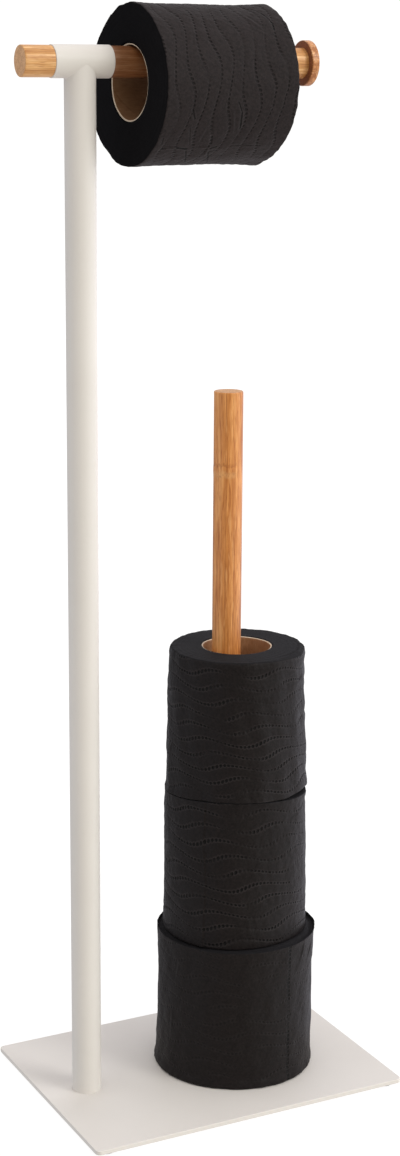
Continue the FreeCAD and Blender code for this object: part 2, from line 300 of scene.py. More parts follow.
def bamboo(name, shift, node_at=None, tint=(1.0, 1.0, 1.0), deep=None, fleck=0.0):
    """Laminated bamboo, lacquered; the grain runs along the piece's own Z. node_at is where a growth ring of the cane
    crosses, deep a stretch with painted shade, its colour multiplied darker: (from, full, full, to, how much); fleck is
    how strongly the piece is flecked."""
    m = Shade(name)
    m.set(("Specular IOR Level", 0.36), ("Coat Weight", 0.10), ("Coat Roughness", 0.26))
    p0 = m.vec("ADD", m.coords("Object"), shift)
    x, y, z = m.split(p0)[:3]
    # the grain drifts a little sideways along the piece
    drift = m.noise(m.join(0.0, 0.0, m.math("MULTIPLY", z, 9.0)), 1.0, 2)
    xd = m.math("ADD", x, m.math("MULTIPLY", m.math("SUBTRACT", drift, 0.5), 0.0022))
    long_ = lambda sx, sz: m.join(m.math("MULTIPLY", xd, sx), m.math("MULTIPLY", y, sx), m.math("MULTIPLY", z, sz))
    broad = m.noise(long_(190.0, 13.0), 1.0, 3, 0.55)
    streak = m.noise(long_(560.0, 34.0), 1.0, 4, 0.62)
    fibre = m.noise(long_(2100.0, 22.0), 1.0, 3, 0.6)
    # strips glued side by side, each with its own tone and a fine dark line between
    across = m.math("DIVIDE", m.math("ADD", x, 0.5), 0.0061)
    strip = m.math("FLOOR", across)
    tone_n = m.node("ShaderNodeTexWhiteNoise", noise_dimensions="1D")
    m.link(m.math("ADD", strip, 0.37), tone_n.inputs["W"])
    tone = tone_n.outputs["Value"]
    edge = m.math("ABSOLUTE", m.math("SUBTRACT", m.math("FRACT", across), 0.5))
    glue = m.span(edge, 0.488, 0.498)
    v = m.math("ADD", m.math("MULTIPLY", streak, 0.62), m.math("MULTIPLY", broad, 0.40))
    v = m.math("ADD", v, m.math("MULTIPLY", m.math("SUBTRACT", tone, 0.5), 0.16))
    v = m.math("ADD", v, m.math("MULTIPLY", m.math("SUBTRACT", fibre, 0.5), 0.22))
    tinted = lambda c: tuple(q * k for q, k in zip(c, tint))
    col = m.ramp(v, [
        (0.36, tinted((0.37, 0.150, 0.044))),
        (0.47, tinted((0.52, 0.245, 0.080))),
        (0.56, tinted((0.65, 0.340, 0.130))),
        (0.66, tinted((0.80, 0.490, 0.230))),
    ])
    # dark vessel dashes
    dash = m.noise(long_(1150.0, 95.0), 1.0, 2, 0.5)
    col = m.mix(m.math("MULTIPLY", m.span(dash, 0.57, 0.68), 0.50), col, tinted((0.33, 0.110, 0.028)))
    pale = m.noise(long_(1000.0, 60.0), 1.0, 2, 0.5)
    col = m.mix(m.math("MULTIPLY", m.span(pale, 0.58, 0.70), 0.45), col, tinted((0.86, 0.58, 0.32)))
    col = m.mix(m.math("MULTIPLY", glue, 0.45), col, tinted((0.28, 0.105, 0.030)))
    height = m.math("ADD", m.math("MULTIPLY", fibre, 0.6), m.math("MULTIPLY", streak, 0.4))
    height = m.math("SUBTRACT", height, m.math("MULTIPLY", glue, 0.8))
    if node_at is not None:
        # cane node: a ragged band of short dark dashes with a paler ridge under it, on part of the girth
        zz = m.math("SUBTRACT", z, node_at)
        rag = m.noise(m.join(m.math("MULTIPLY", x, 520.0), m.math("MULTIPLY", y, 520.0), 0.0), 1.0, 3, 0.6)
        zr = m.math("ADD", zz, m.math("MULTIPLY", m.math("SUBTRACT", rag, 0.5), 0.009))
        upper = m.span(m.math("ABSOLUTE", zr), 0.0017, 0.0004)
        lower = m.span(m.math("ABSOLUTE", m.math("ADD", zr, 0.0062)), 0.0030, 0.0008)
        side = m.span(x, 0.0030, -0.0012)
        speck = m.span(m.noise(m.join(m.math("MULTIPLY", x, 950.0), m.math("MULTIPLY", y, 950.0), m.math("MULTIPLY", z, 420.0)), 1.0, 2), 0.42, 0.58)
        col = m.mix(m.math("MULTIPLY", m.math("MULTIPLY", lower, side), 0.35), col, (0.78, 0.44, 0.18))
        dark = m.math("MULTIPLY", m.math("MULTIPLY", upper, side), m.math("ADD", 0.25, m.math("MULTIPLY", speck, 0.42)))
        col = m.mix(dark, col, (0.35, 0.112, 0.026))
        drops = m.math("MULTIPLY", m.math("MULTIPLY", lower, side), m.span(speck, 0.75, 1.0))
        col = m.mix(m.math("MULTIPLY", drops, 0.45), col, (0.40, 0.16, 0.05))
        height = m.math("SUBTRACT", height, m.math("MULTIPLY", upper, 0.6))
    if fleck:
        spot = m.span(m.noise(p0, 430.0, 3, 0.6), 0.44, 0.53)
        col = m.mix(m.math("MULTIPLY", spot, fleck), col, (0.38, 0.135, 0.040))
        wan = m.span(m.noise(m.vec("ADD", p0, (0.31, 0.17, 0.05)), 520.0, 2, 0.5), 0.56, 0.68)
        col = m.mix(m.math("MULTIPLY", wan, 0.5 * fleck), col, (0.86, 0.56, 0.32))
    # painted shade: over the stretch deep, the wood's colour is multiplied down to about a third, standing in for shade
    if deep is not None:
        own = m.math("SUBTRACT", z, shift[2])
        part = m.math("MULTIPLY", m.span(own, deep[0] * MM, deep[1] * MM), m.span(own, deep[3] * MM, deep[2] * MM))
        col = m.mix(m.math("MULTIPLY", part, deep[4]), col, m.vec("MULTIPLY", col, (0.27, 0.20, 0.205)))
    m.to("Base Color", col)
    m.to("Roughness", m.span(streak, 0.3, 0.7, 0.46, 0.36))
    m.to("Normal", m.bump(height, 0.00012, 0.5))
    return m.material


def bamboo_end(name, shift, tint=(1.0, 1.0, 1.0)):
    """Bamboo cut across the grain: darker, with the fibre bundles as dots."""
    m = Shade(name)
    m.set(("Specular IOR Level", 0.4), ("Coat Weight", 0.06), ("Coat Roughness", 0.35))
    x, y, z = m.split(m.vec("ADD", m.coords("Object"), shift))[:3]
    flat = m.join(x, y, 0.0)
    tinted = lambda c: tuple(q * k for q, k in zip(c, tint))
    cloud = m.noise(flat, 210.0, 3, 0.55)
    dots = m.span(m.voronoi(flat, 950.0), 0.42, 0.18)
    strip = m.span(m.math("ABSOLUTE", m.math("SUBTRACT", m.math("FRACT", m.math("DIVIDE", m.math("ADD", x, 0.5), 0.0061)), 0.5)), 0.47, 0.495)
    col = m.ramp(cloud, [(0.32, tinted((0.46, 0.235, 0.100))), (0.66, tinted((0.62, 0.355, 0.170)))])
    col = m.mix(m.math("MULTIPLY", dots, 0.55), col, tinted((0.24, 0.100, 0.036)))
    col = m.mix(m.math("MULTIPLY", strip, 0.4), col, tinted((0.24, 0.100, 0.036)))
    m.to("Base Color", col)
    m.to("Roughness", m.span(cloud, 0.3, 0.7, 0.52, 0.62))
    m.to("Normal", m.bump(m.math("MULTIPLY", m.math("ADD", dots, strip), -1.0), 0.00010, 0.6))
    return m.material


def tissue(name, girth_mm, rows, lines=(), folds=(), press=1.0, tone=1.0, sheen=0.022, gloss=0.30, rough=(0.62, 0.80), painted_rim_highlight=0.22):
    """Dyed black tissue. The map roll_uv runs in metres: round the roll and along it. rows is the embossing (see
    pit_rows), press how deep it is;
    lines are perforations: (place round the roll in mm, wave); folds are small creases: (from, to, width, depth), with
    places (round, along) in mm.
    The colour carries painted shade in the pits, the perforations and the folds, and painted highlights on the rings
    round the pits and beside the folds; the last argument sets the pits' highlight."""
    m = Shade(name)
    m.set(("Specular IOR Level", gloss), ("Sheen Weight", sheen), ("Sheen Roughness", 0.35), ("Sheen Tint", (0.94, 0.86, 0.87, 1)))
    p = m.coords("Object")
    toned = lambda c: tuple(q * tone for q in c)
    uv = m.uv("roll_uv")
    u, v = m.split(uv)[:2]
    cloud = m.noise(p, 38.0, 4, 0.6)
    fuzz = m.noise(p, 900.0, 3, 0.7)
    crepe = m.noise(m.join(m.math("MULTIPLY", u, 900.0), m.math("MULTIPLY", v, 330.0), 0.0), 1.0, 3, 0.6)
    col = m.ramp(cloud, [(0.25, toned((0.0060, 0.0046, 0.0048))), (0.75, toned((0.0086, 0.0066, 0.0068)))])
    col = m.mix(m.span(fuzz, 0.40, 0.66, 0.0, 0.6), col, toned((0.0170, 0.0130, 0.0133)))
    mottle = m.noise(p, 610.0, 4, 0.75)
    col = m.mix(m.span(mottle, 0.40, 0.62, 0.0, 0.5), col, toned((0.0210, 0.0156, 0.0160)))
    height = m.math("ADD", m.math("MULTIPLY", crepe, 0.75), m.math("MULTIPLY", fuzz, 0.55))
    height = m.math("ADD", height, m.math("MULTIPLY", mottle, 1.1))
    # rows of small pits; each pit gets painted shade and the ring round it a painted highlight
    waves, amp, gap, lean, count, shift = rows
    vr = m.math("DIVIDE", v, gap * MM)
    bend = m.math("ADD", m.math("ADD", m.math("MULTIPLY", u, TAU * waves / (girth_mm * MM)), m.math("MULTIPLY", vr, lean)), shift * TAU)
    row = m.math("ADD", m.math("ADD", vr, shift), m.math("MULTIPLY", m.math("SINE", bend), amp / gap))
    near = m.math("ROUND", row)
    off = m.math("MULTIPLY", m.math("ABSOLUTE", m.math("SUBTRACT", row, near)), gap * MM)
    along = m.math("ADD", m.math("MULTIPLY", u, count / (girth_mm * MM)), m.math("MULTIPLY", near, 0.5))
    run = m.math("MULTIPLY", m.math("ABSOLUTE", m.math("SUBTRACT", along, m.math("ROUND", along))), girth_mm * MM / count)
    d = m.math("SQRT", m.math("ADD", m.math("MULTIPLY", off, off), m.math("MULTIPLY", run, run)))
    fade = m.span(m.noise(p, 36.0, 3, 0.55), 0.38, 0.56, 0.10 * press, 1.20 * press)
    pit = m.math("MULTIPLY", m.span(d, 0.00112, 0.00058), fade)
    rim = m.math("MULTIPLY", m.math("MULTIPLY", m.span(d, 0.00200, 0.00140), m.span(d, 0.00105, 0.00140)), fade)
    # painted shade in the pits, painted highlight on the rings round them
    col = m.mix(m.math("MULTIPLY", pit, 0.8), col, (0.0014, 0.0013, 0.0013))
    col = m.mix(m.math("MULTIPLY", rim, painted_rim_highlight), col, (0.0360, 0.0300, 0.0306))
    height = m.math("SUBTRACT", height, m.math("MULTIPLY", pit, 3.4))
    for at, wave in lines:
        off = m.math("SUBTRACT", u, at * MM)
        off = m.math("ADD", off, m.math("MULTIPLY", m.math("SINE", m.math("MULTIPLY", v, 60.0)), wave * MM))
        near = m.span(m.math("ABSOLUTE", off), 0.00135, 0.00075)
        slit = m.span(m.math("ABSOLUTE", m.math("SUBTRACT", m.math("FRACT", m.math("DIVIDE", v, 0.0030)), 0.5)), 0.40, 0.30)
        strong = m.span(m.noise(m.join(m.math("MULTIPLY", v, 45.0), at, 0.0), 1.0, 1), 0.32, 0.55, 0.35, 1.0)
        cut = m.math("MULTIPLY", m.math("MULTIPLY", near, slit), strong)
        # painted shade in the perforation slits
        col = m.mix(cut, col, (0.0010, 0.0009, 0.0009))
        height = m.math("SUBTRACT", height, m.math("MULTIPLY", cut, 2.6))
    for start, stop, width, depth in folds:
        a = (start[0] * MM, start[1] * MM, 0.0)
        d = ((stop[0] - start[0]) * MM, (stop[1] - start[1]) * MM, 0.0)
        long2 = d[0] ** 2 + d[1] ** 2
        rel = m.vec("SUBTRACT", uv, a)
        dot = m.node("ShaderNodeVectorMath", operation="DOT_PRODUCT")
        m.link(rel, dot.inputs[0])
        dot.inputs[1].default_value = tuple(q / long2 for q in d)
        t = m.math("MULTIPLY", dot.outputs["Value"], 1.0, clamp=True)
        foot = m.node("ShaderNodeVectorMath", operation="SCALE")
        foot.inputs[0].default_value = d
        m.link(t, foot.inputs["Scale"])
        gap_n = m.node("ShaderNodeVectorMath", operation="LENGTH")
        m.link(m.vec("SUBTRACT", rel, foot.outputs["Vector"]), gap_n.inputs[0])
        # the fold's groove, used for its shape and for painted shade along it, and a painted highlight beside it
        fold_groove_and_painted_shade = m.math("MULTIPLY", m.span(gap_n.outputs["Value"], width * MM, 0.35 * width * MM), depth)
        fold_painted_highlight = m.math("MULTIPLY", m.math("MULTIPLY", m.span(gap_n.outputs["Value"], 2.4 * width * MM, 1.4 * width * MM), m.span(gap_n.outputs["Value"], 0.9 * width * MM, 1.4 * width * MM)), 0.35 * depth)
        col = m.mix(m.math("MULTIPLY", fold_groove_and_painted_shade, 0.85), col, (0.0012, 0.0011, 0.0011))
        col = m.mix(fold_painted_highlight, col, toned((0.0260, 0.0230, 0.0235)))
        height = m.math("SUBTRACT", height, m.math("MULTIPLY", fold_groove_and_painted_shade, 2.4))
    m.to("Base Color", col)
    m.to("Roughness", m.span(fuzz, 0.2, 0.8, *rough))
    m.to("Normal", m.bump(height, 0.00024, 0.85))
    return m.material


def tissue_end(name, gloss, tone=1.0):
    """The cut end of the winding: the same tissue, seen as fine rings."""
    m = Shade(name)
    m.set(("Specular IOR Level", gloss), ("Sheen Weight", 0.01), ("Sheen Roughness", 0.5), ("Sheen Tint", (0.88, 0.84, 0.87, 1)))
    p = m.coords("Object")
    x, y, z = m.split(p)[:3]
    r = m.math("SQRT", m.math("ADD", m.math("MULTIPLY", x, x), m.math("MULTIPLY", y, y)))
    turn = m.math("ARCTAN2", y, x)
    soft = m.noise(m.vec("MULTIPLY", p, (60.0, 60.0, 4.0)), 1.0, 4, 0.6)
    ring = m.noise(m.join(m.math("MULTIPLY", m.math("ADD", r, m.math("MULTIPLY", soft, 0.0011)), 2600.0), m.math("MULTIPLY", turn, 2.2), 0.0), 1.0, 3, 0.6)
    fuzz = m.noise(p, 1300.0, 3, 0.65)
    toned = lambda c: tuple(q * tone for q in c)
    col = m.ramp(soft, [(0.25, toned((0.0030, 0.0029, 0.0035))), (0.75, toned((0.0046, 0.0043, 0.0051)))])
    col = m.mix(m.span(ring, 0.35, 0.75, 0.0, 0.4), col, toned((0.0085, 0.0079, 0.0090)))
    m.to("Base Color", col)
    m.to("Roughness", m.span(fuzz, 0.2, 0.8, 0.76, 0.92))
    m.to("Normal", m.bump(m.math("ADD", m.math("MULTIPLY", ring, 0.7), m.math("MULTIPLY", fuzz, 0.3)), 0.00022, 0.6))
    return m.material


def core_inside(name, tone):
    """Brown cardboard tube, wound from strips."""
    m = Shade(name)
    m.set(("Specular IOR Level", 0.35))
    uv = m.uv("roll_uv")
    u, v = m.split(uv)[:2]
    p = m.coords("Object")
    fibre = m.noise(m.join(m.math("MULTIPLY", u, 900.0), m.math("MULTIPLY", v, 160.0), 0.0), 1.0, 4, 0.6)
    cloud = m.noise(p, 70.0, 3, 0.55)
    lay = m.math("FRACT", m.math("DIVIDE", m.math("ADD", v, m.math("MULTIPLY", u, 0.62)), 0.088))
    seam = m.span(m.math("ABSOLUTE", m.math("SUBTRACT", lay, 0.5)), 0.487, 0.497)
    toned = lambda c: tuple(q * tone for q in c)
    col = m.ramp(m.math("ADD", m.math("MULTIPLY", fibre, 0.6), m.math("MULTIPLY", cloud, 0.4)),
                 [(0.30, toned((0.150, 0.074, 0.034))), (0.52, toned((0.215, 0.115, 0.056))), (0.72, toned((0.28, 0.160, 0.085)))])
    col = m.mix(m.math("MULTIPLY", seam, 0.3), col, (0.13, 0.06, 0.025))
    m.to("Base Color", col)
    m.to("Roughness", m.span(cloud, 0.3, 0.7, 0.50, 0.64))
    m.to("Normal", m.bump(m.math("SUBTRACT", fibre, m.math("MULTIPLY", seam, 1.2)), 0.00012, 0.5))
    return m.material


def core_rim():
    """The tube's cut edge: pale board in thin plies."""
    m = Shade("core_rim")
    m.set(("Specular IOR Level", 0.3))
    p = m.coords("Object")
    x, y, z = m.split(p)[:3]
    r = m.math("SQRT", m.math("ADD", m.math("MULTIPLY", x, x), m.math("MULTIPLY", y, y)))
    ply = m.math("FRACT", m.math("DIVIDE", r, 0.00044))
    fuzz = m.noise(p, 900.0, 3, 0.6)
    col = m.ramp(fuzz, [(0.3, (0.60, 0.48, 0.36)), (0.7, (0.80, 0.68, 0.54))])
    col = m.mix(m.math("MULTIPLY", m.span(m.math("ABSOLUTE", m.math("SUBTRACT", ply, 0.5)), 0.36, 0.48), 0.35), col, (0.33, 0.22, 0.13))
    m.to("Base Color", col)
    m.to("Roughness", m.span(fuzz, 0.3, 0.7, 0.8, 0.92))
    m.to("Normal", m.bump(fuzz, 0.0002, 0.6))
    return m.material


def rubber():
    m = Shade("grey_rubber")
    m.set(("Specular IOR Level", 0.35))
    p = m.coords("Object")
    grain = m.noise(p, 1100.0, 3, 0.6)
    cloud = m.noise(p, 90.0, 3, 0.5)
    m.to("Base Color", m.ramp(cloud, [(0.3, (0.13, 0.13, 0.128)), (0.7, (0.18, 0.178, 0.174))]))
    m.to("Roughness", m.span(grain, 0.3, 0.7, 0.62, 0.8))
    m.to("Normal", m.bump(grain, 0.0001, 0.5))
    return m.material


def metal(name, low, high, rough):
    m = Shade(name)
    m.set(("Metallic", 1.0))
    p = m.coords("Object")
    x, y, z = m.split(p)[:3]
    turned = m.noise(m.join(m.math("MULTIPLY", x, 300.0), m.math("MULTIPLY", y, 300.0), m.math("MULTIPLY", z, 3000.0)), 1.0, 3, 0.6)
    stain = m.noise(p, 260.0, 3, 0.55)
    m.to("Base Color", m.ramp(stain, [(0.3, low), (0.7, high)]))
    m.to("Roughness", m.span(turned, 0.3, 0.7, rough, rough + 0.16))
    m.to("Normal", m.bump(turned, 0.00005, 0.5))
    return m.material


# ---------------------------------------------------------------- mesh helpers, mm in, metres out
def smoothstep(t):
    t = np.clip(t, 0.0, 1.0)
    return t * t * (3 - 2 * t)


class Waves:
    """Smooth unevenness over (turn, height): a seeded sum of waves that closes round the turn."""

    def __init__(self, seed, count, k_turn, k_height):
        rng = np.random.default_rng(seed)
        self.k = rng.integers(1, k_turn + 1, count)
        self.h = rng.uniform(-k_height, k_height, count)
        self.p = rng.uniform(0, TAU, count)
        self.a = rng.normal(0, 1, count) / math.sqrt(count / 2)

    def __call__(self, turn, height):
        out = np.zeros(np.broadcast(turn, height).shape)
        for k, h, p, a in zip(self.k, self.h, self.p, self.a):
            out += a * np.cos(k * turn + h * height + p)
        return out


def ring_mesh(name, points, uvs, slots, materials):
    """Closed mesh from points[row, turn]; both ways round it joins up with itself. uvs[row, turn + 1] and slots[row] go with the quads after that row."""
    rows, n = points.shape[:2]
    idx = np.arange(rows * n).reshape(rows, n)
    a = idx
    b = np.roll(idx, -1, axis=1)
    c = np.roll(b, -1, axis=0)
    d = np.roll(idx, -1, axis=0)
    quads = np.stack([a, b, c, d], -1).reshape(-1, 4)
    mesh = bpy.data.meshes.new(name)
    mesh.from_pydata((points.reshape(-1, 3) * MM).tolist(), [], quads.tolist())
    for m in materials:
        mesh.materials.append(m)
    mesh.polygons.foreach_set("material_index", np.repeat(np.asarray(slots, np.int32), n))
    mesh.polygons.foreach_set("use_smooth", np.ones(rows * n, bool))
    layer = mesh.uv_layers.new(name="roll_uv")
    up = np.vstack([uvs[1:], uvs[:1]])
    quad_uv = np.stack([uvs[:, :-1], uvs[:, 1:], up[:, 1:], up[:, :-1]], 2)
    layer.data.foreach_set("uv", (quad_uv * MM).astype(np.float32).ravel())
    mesh.update()
    obj = bpy.data.objects.new(name, mesh)
    scene.collection.objects.link(obj)
    return obj


def turned_mesh(name, profile, n, materials, shape=None):
    """Solid turned about its own Z from (radius, height) points that start and end on the axis. shape(turn, height, radius) adds to the radius."""
    prof = np.array(profile, float)
    turn = np.arange(n) * TAU / n
    co, faces, slots = [], [], []
    rows = []
    for r, h in prof:
        if r < 1e-9:
            rows.append([len(co)])
            co.append((0.0, 0.0, h))
            continue
        rad = np.full(n, r)
        if shape is not None:
            rad = rad + shape(turn, h, r)
        rows.append(list(range(len(co), len(co) + n)))
        co += [(x * math.cos(a), x * math.sin(a), h) for x, a in zip(rad, turn)]
    for k, (lo, hi) in enumerate(zip(rows[:-1], rows[1:])):
        dr, dh = abs(prof[k + 1] - prof[k])
        slots += [1 if dh < 0.4 * dr else 0] * n
        for i in range(n):
            j = (i + 1) % n
            if len(lo) == 1:
                faces.append((lo[0], hi[j], hi[i]))
            elif len(hi) == 1:
                faces.append((lo[i], lo[j], hi[0]))
            else:
                faces.append((lo[i], lo[j], hi[j], hi[i]))
    mesh = bpy.data.meshes.new(name)
    mesh.from_pydata([(x * MM, y * MM, z * MM) for x, y, z in co], [], faces)
    for material in materials:
        mesh.materials.append(material)
    mesh.polygons.foreach_set("material_index", np.array(slots, np.int32))
    mesh.update()
    for p in mesh.polygons:
        p.use_smooth = True
    mesh.set_sharp_from_angle(angle=math.radians(38))
    obj = bpy.data.objects.new(name, mesh)
    scene.collection.objects.link(obj)
    return obj


def place(obj, x_axis, y_axis, z_axis, at):
    """Sets the piece's own frame, in mm."""
    obj.matrix_world = Matrix((
        (x_axis[0], y_axis[0], z_axis[0], at[0] * MM),
        (x_axis[1], y_axis[1], z_axis[1], at[1] * MM),
        (x_axis[2], y_axis[2], z_axis[2], at[2] * MM),
        (0, 0, 0, 1)))
    bpy.context.view_layer.update()
    return obj


def hold(obj, body, slot, *stands_for):
    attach(obj, body)
    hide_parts(*stands_for)


# ---------------------------------------------------------------- paper rolls
N_TURN, N_SIDE, N_FACE, N_RIM = 480, 146, 22, 5


def gauss(d, w):
    return np.exp(-(d / w) ** 2)


def turn_gap(turn, at_deg):
    """Signed angle from a place round the roll, radians."""
    return (turn - math.radians(at_deg) + math.pi) % TAU - math.pi


def round_profile(turn, pairs):
    """Value round the roll from (degrees, value) pairs, joined up at the full turn."""
    deg, val = zip(*sorted((d % 360, v) for d, v in pairs))
    return np.interp(np.degrees(turn) % 360, deg, val, period=360)


def side_profile(turn, height, facing, pairs):
    """Leaning, uneven side: (height, swell on the left, swell on the right), where the right side faces the given degrees."""
    h, left, right = (np.array(c, float) for c in zip(*pairs))
    mean = np.interp(height, h, (left + right) / 2)
    half = np.interp(height, h, (right - left) / 2)
    return mean + half * np.cos(turn - math.radians(facing))


def pit_rows(turn, height, radius, rows, seed):
    """Wavy rows of small pits pressed into the paper. rows is (waves round the roll, their depth, gap between rows, lean from row to row,
    pits in a row, shift), mm."""
    waves, amp, gap, lean, count, shift = rows
    row = height / gap + shift + amp / gap * np.sin(waves * turn + lean * height / gap + shift * TAU)
    near = np.round(row)
    off = np.abs(row - near) * gap
    along = count * turn / TAU + 0.5 * near
    run = np.abs(along - np.round(along)) * TAU * radius / count
    fade = 0.6 + 0.4 * np.clip(Waves(seed, 14, 6, 0.09)(turn, height), -1, 1)
    return fade * (-0.20 * gauss(off, 1.9) - 0.28 * gauss(np.hypot(off, run), 0.80))


def crease(turn, height, radius, spec):
    """A soft fold: a ridge with a dip beside it. spec is (degrees, height, slope, half length, width, rise)."""
    deg, h0, slope, half, width, rise = spec
    du = turn_gap(turn, deg) * radius
    dv = height - h0
    s, c = math.sin(slope), math.cos(slope)
    along, off = du * c + dv * s, -du * s + dv * c
    off = off + 0.05 * width * np.sin(along * 1.3)
    fade = smoothstep(1 - np.abs(along) / half)
    return rise * fade * (gauss(off, width) - 0.8 * gauss(off - 1.7 * width, width))


def roll(name, body, radius, length, spec, mats):
    """Wound paper as one closed skin round the core. spec holds what sets this roll apart."""
    turn = (np.arange(N_TURN) * TAU / N_TURN)[None, :]
    kl, kh = spec["rims"]
    ri, lap = CORE_OUT + 0.05, 0.42       # the winding laps a little over the tube's ends
    rows, kinds = [], []
    inwards = 1 - np.linspace(1, 0, N_FACE + 1) ** 1.8       # closer rings near the rim
    for r in ((ri - lap) + (radius - kl - ri + lap) * inwards)[:-1]:
        rows.append((r, 0.0)); kinds.append(1)
    for i in range(N_RIM):
        a = math.pi / 2 * i / N_RIM
        rows.append((radius - kl + kl * math.sin(a), kl - kl * math.cos(a))); kinds.append(0 if i >= N_RIM // 2 else 1)
    for z in np.linspace(kl, length - kh, N_SIDE + 1)[:-1]:
        rows.append((radius, z)); kinds.append(0)
    for i in range(N_RIM):
        a = math.pi / 2 * i / N_RIM
        rows.append((radius - kh + kh * math.cos(a), length - kh + kh * math.sin(a))); kinds.append(0 if i < N_RIM // 2 else 1)
    for r in (ri - lap) + (radius - kh - ri + lap) * inwards[::-1]:
        rows.append((r, length)); kinds.append(1)
    rows += [(ri, length - 1.0), (ri, 1.0)]; kinds += [1, 1]
    r0 = np.array([r for r, _ in rows])[:, None]
    z0 = np.array([z for _, z in rows])[:, None]
    out_share = smoothstep((r0 - ri) / (radius - ri)) ** 1.5      # outer layers follow the skin, the core side stays put

    # skin: slow unevenness, the sheet's spiral step, lattice, folds, flared ends
    zs = np.clip(z0, 0, length)
    dr = spec.get("wobble", 0.3) * Waves(spec["seed"], 10, 4, 0.03)(turn, zs)
    dr = dr + spec.get("ripple", 0.12) * Waves(spec["seed"] + 1, 26, 22, 0.25)(turn, zs)
    dr = dr + spec.get("crumple", 0.06) * Waves(spec["seed"] + 8, 40, 70, 1.1)(turn, zs)
    dr = dr + spec["outline"](turn, zs)
    skin = pit_rows(turn, zs, radius, spec["rows"], spec["seed"] + 2)
    dr = dr + spec.get("press", 1.0) * skin * smoothstep(np.minimum(zs, length - zs) / 6.0 - 0.2)
    if "tail" in spec:
        deg, step, wave = spec["tail"]
        edge = turn_gap(turn + wave / radius * Waves(spec["seed"] + 3, 8, 1, 0.16)(0.0 * turn, zs), deg) % TAU
        run = edge / TAU
        lip = 0.18 * gauss((edge - TAU) * radius, 1.2)
        dr = dr + step * (run - 0.5) + lip
    for c in spec.get("creases", ()):
        dr = dr + crease(turn, zs, radius, c)
    for deg, width, amount, at, reach in spec.get("bulges", ()):
        dr = dr + amount * gauss(turn_gap(turn, deg), math.radians(width)) * gauss(zs - at, reach)
    low_f, low_reach = spec.get("flare_low", (0.0, 5.0))
    high_f, high_reach = spec.get("flare_high", (0.0, 5.0))
    rough = Waves(spec["seed"] + 5, 34, 60, 0.0)(turn, 0.0 * turn)
    dr = dr + (low_f + 0.05 * rough) * gauss(zs, low_reach)
    rough2 = Waves(spec["seed"] + 6, 34, 60, 0.0)(turn, 0.0 * turn)
    dr = dr + (high_f + 0.05 * rough2) * gauss(length - zs, high_reach)

    # ends: uneven winding, soft hollows, and the shape given for each end
    share = np.clip((r0 - ri) / (radius - ri), 0, 1)
    low = spec["low_end"](turn, share) + 0.06 * rough * share ** 3
    high = spec["high_end"](turn, share) + 0.06 * rough2 * share ** 3
    layers = Waves(spec["seed"] + 7, 12, 3, 0.0)(turn, 0.0 * turn)
    low = low + 0.13 * np.sin(r0 * 1.9 + layers + turn) * share * (1 - share) * 3
    high = high + 0.13 * np.sin(r0 * 1.7 - layers - turn) * share * (1 - share) * 3
    dz = low * (1 - smoothstep(zs / (0.55 * length))) + high * smoothstep((zs - 0.45 * length) / (0.55 * length))

    r = r0 + dr * out_share
    z = z0 + dz
    pts = np.stack([r * np.cos(turn), r * np.sin(turn), np.broadcast_to(z, r.shape)], -1)
    arc = np.broadcast_to(np.arange(N_TURN + 1)[None, :] * TAU / N_TURN * radius, (len(rows), N_TURN + 1))
    run_v = np.concatenate([[0.0], np.cumsum(np.hypot(np.diff(r0[:, 0]), np.diff(z0[:, 0])))])
    first_side = N_FACE + N_RIM
    run_v = run_v - run_v[first_side] + kl
    uv = np.stack([arc, np.broadcast_to(run_v[:, None], arc.shape)], -1)
    obj = ring_mesh(name, pts, uv, kinds, mats)
    return obj


def core(name, length, low, high, mats, seed, flare=0.0, oval=0.0):
    """Cardboard tube with a cut rim at both ends."""
    n = 192
    turn = (np.arange(n) * TAU / n)[None, :]
    ro, rin, k = CORE_OUT, CORE_IN, 0.32
    inner = np.linspace(high - k, low + k, 72)
    rows, slots = [], []
    for z in inner:
        rows.append((rin, z)); slots.append(0)
    slots[-1] = 1
    rows += [(rin + 0.10, low + 0.09), (rin + k, low), (ro - k, low), (ro - 0.10, low + 0.09), (ro, low + k)]
    slots += [1, 1, 1, 1, 0]
    rows += [(ro, 0.5 * (low + high)), (ro, high - k)]
    slots += [0, 1]
    rows += [(ro - 0.10, high - 0.09), (ro - k, high), (rin + k, high), (rin + 0.10, high - 0.09)]
    slots += [1, 1, 1, 1]
    r0 = np.array([r for r, _ in rows])[:, None]
    z0 = np.array([z for _, z in rows])[:, None]
    wob = Waves(seed, 8, 3, 0.02)(turn, z0) * 0.05
    lay = (z0 + turn * CORE_IN * 0.62) / 88.0
    seam = np.abs(lay - np.round(lay)) * 88.0
    inside = (r0 < rin + 0.01)
    groove = 0.06 * gauss(seam, 0.7) * inside
    ends = gauss(z0 - high, 5.0) * flare
    r = r0 + wob + groove + ends
    r = np.minimum(r, CORE_OUT + 0.02 + ends) if flare else np.minimum(r, CORE_OUT + 0.03)
    zz = z0 + 0.10 * Waves(seed + 1, 12, 8, 0.0)(turn, 0.0 * turn) * (np.abs(z0 - 0.5 * (low + high)) > 0.4 * (high - low))
    pts = np.stack([r * np.cos(turn), r * np.sin(turn), np.broadcast_to(zz, r.shape)], -1)
    arc = np.broadcast_to(np.arange(n + 1)[None, :] * TAU / n * CORE_IN, (len(rows), n + 1))
    uv = np.stack([arc, np.broadcast_to(z0, arc.shape)], -1)
    return ring_mesh(name, pts, uv, slots, mats)


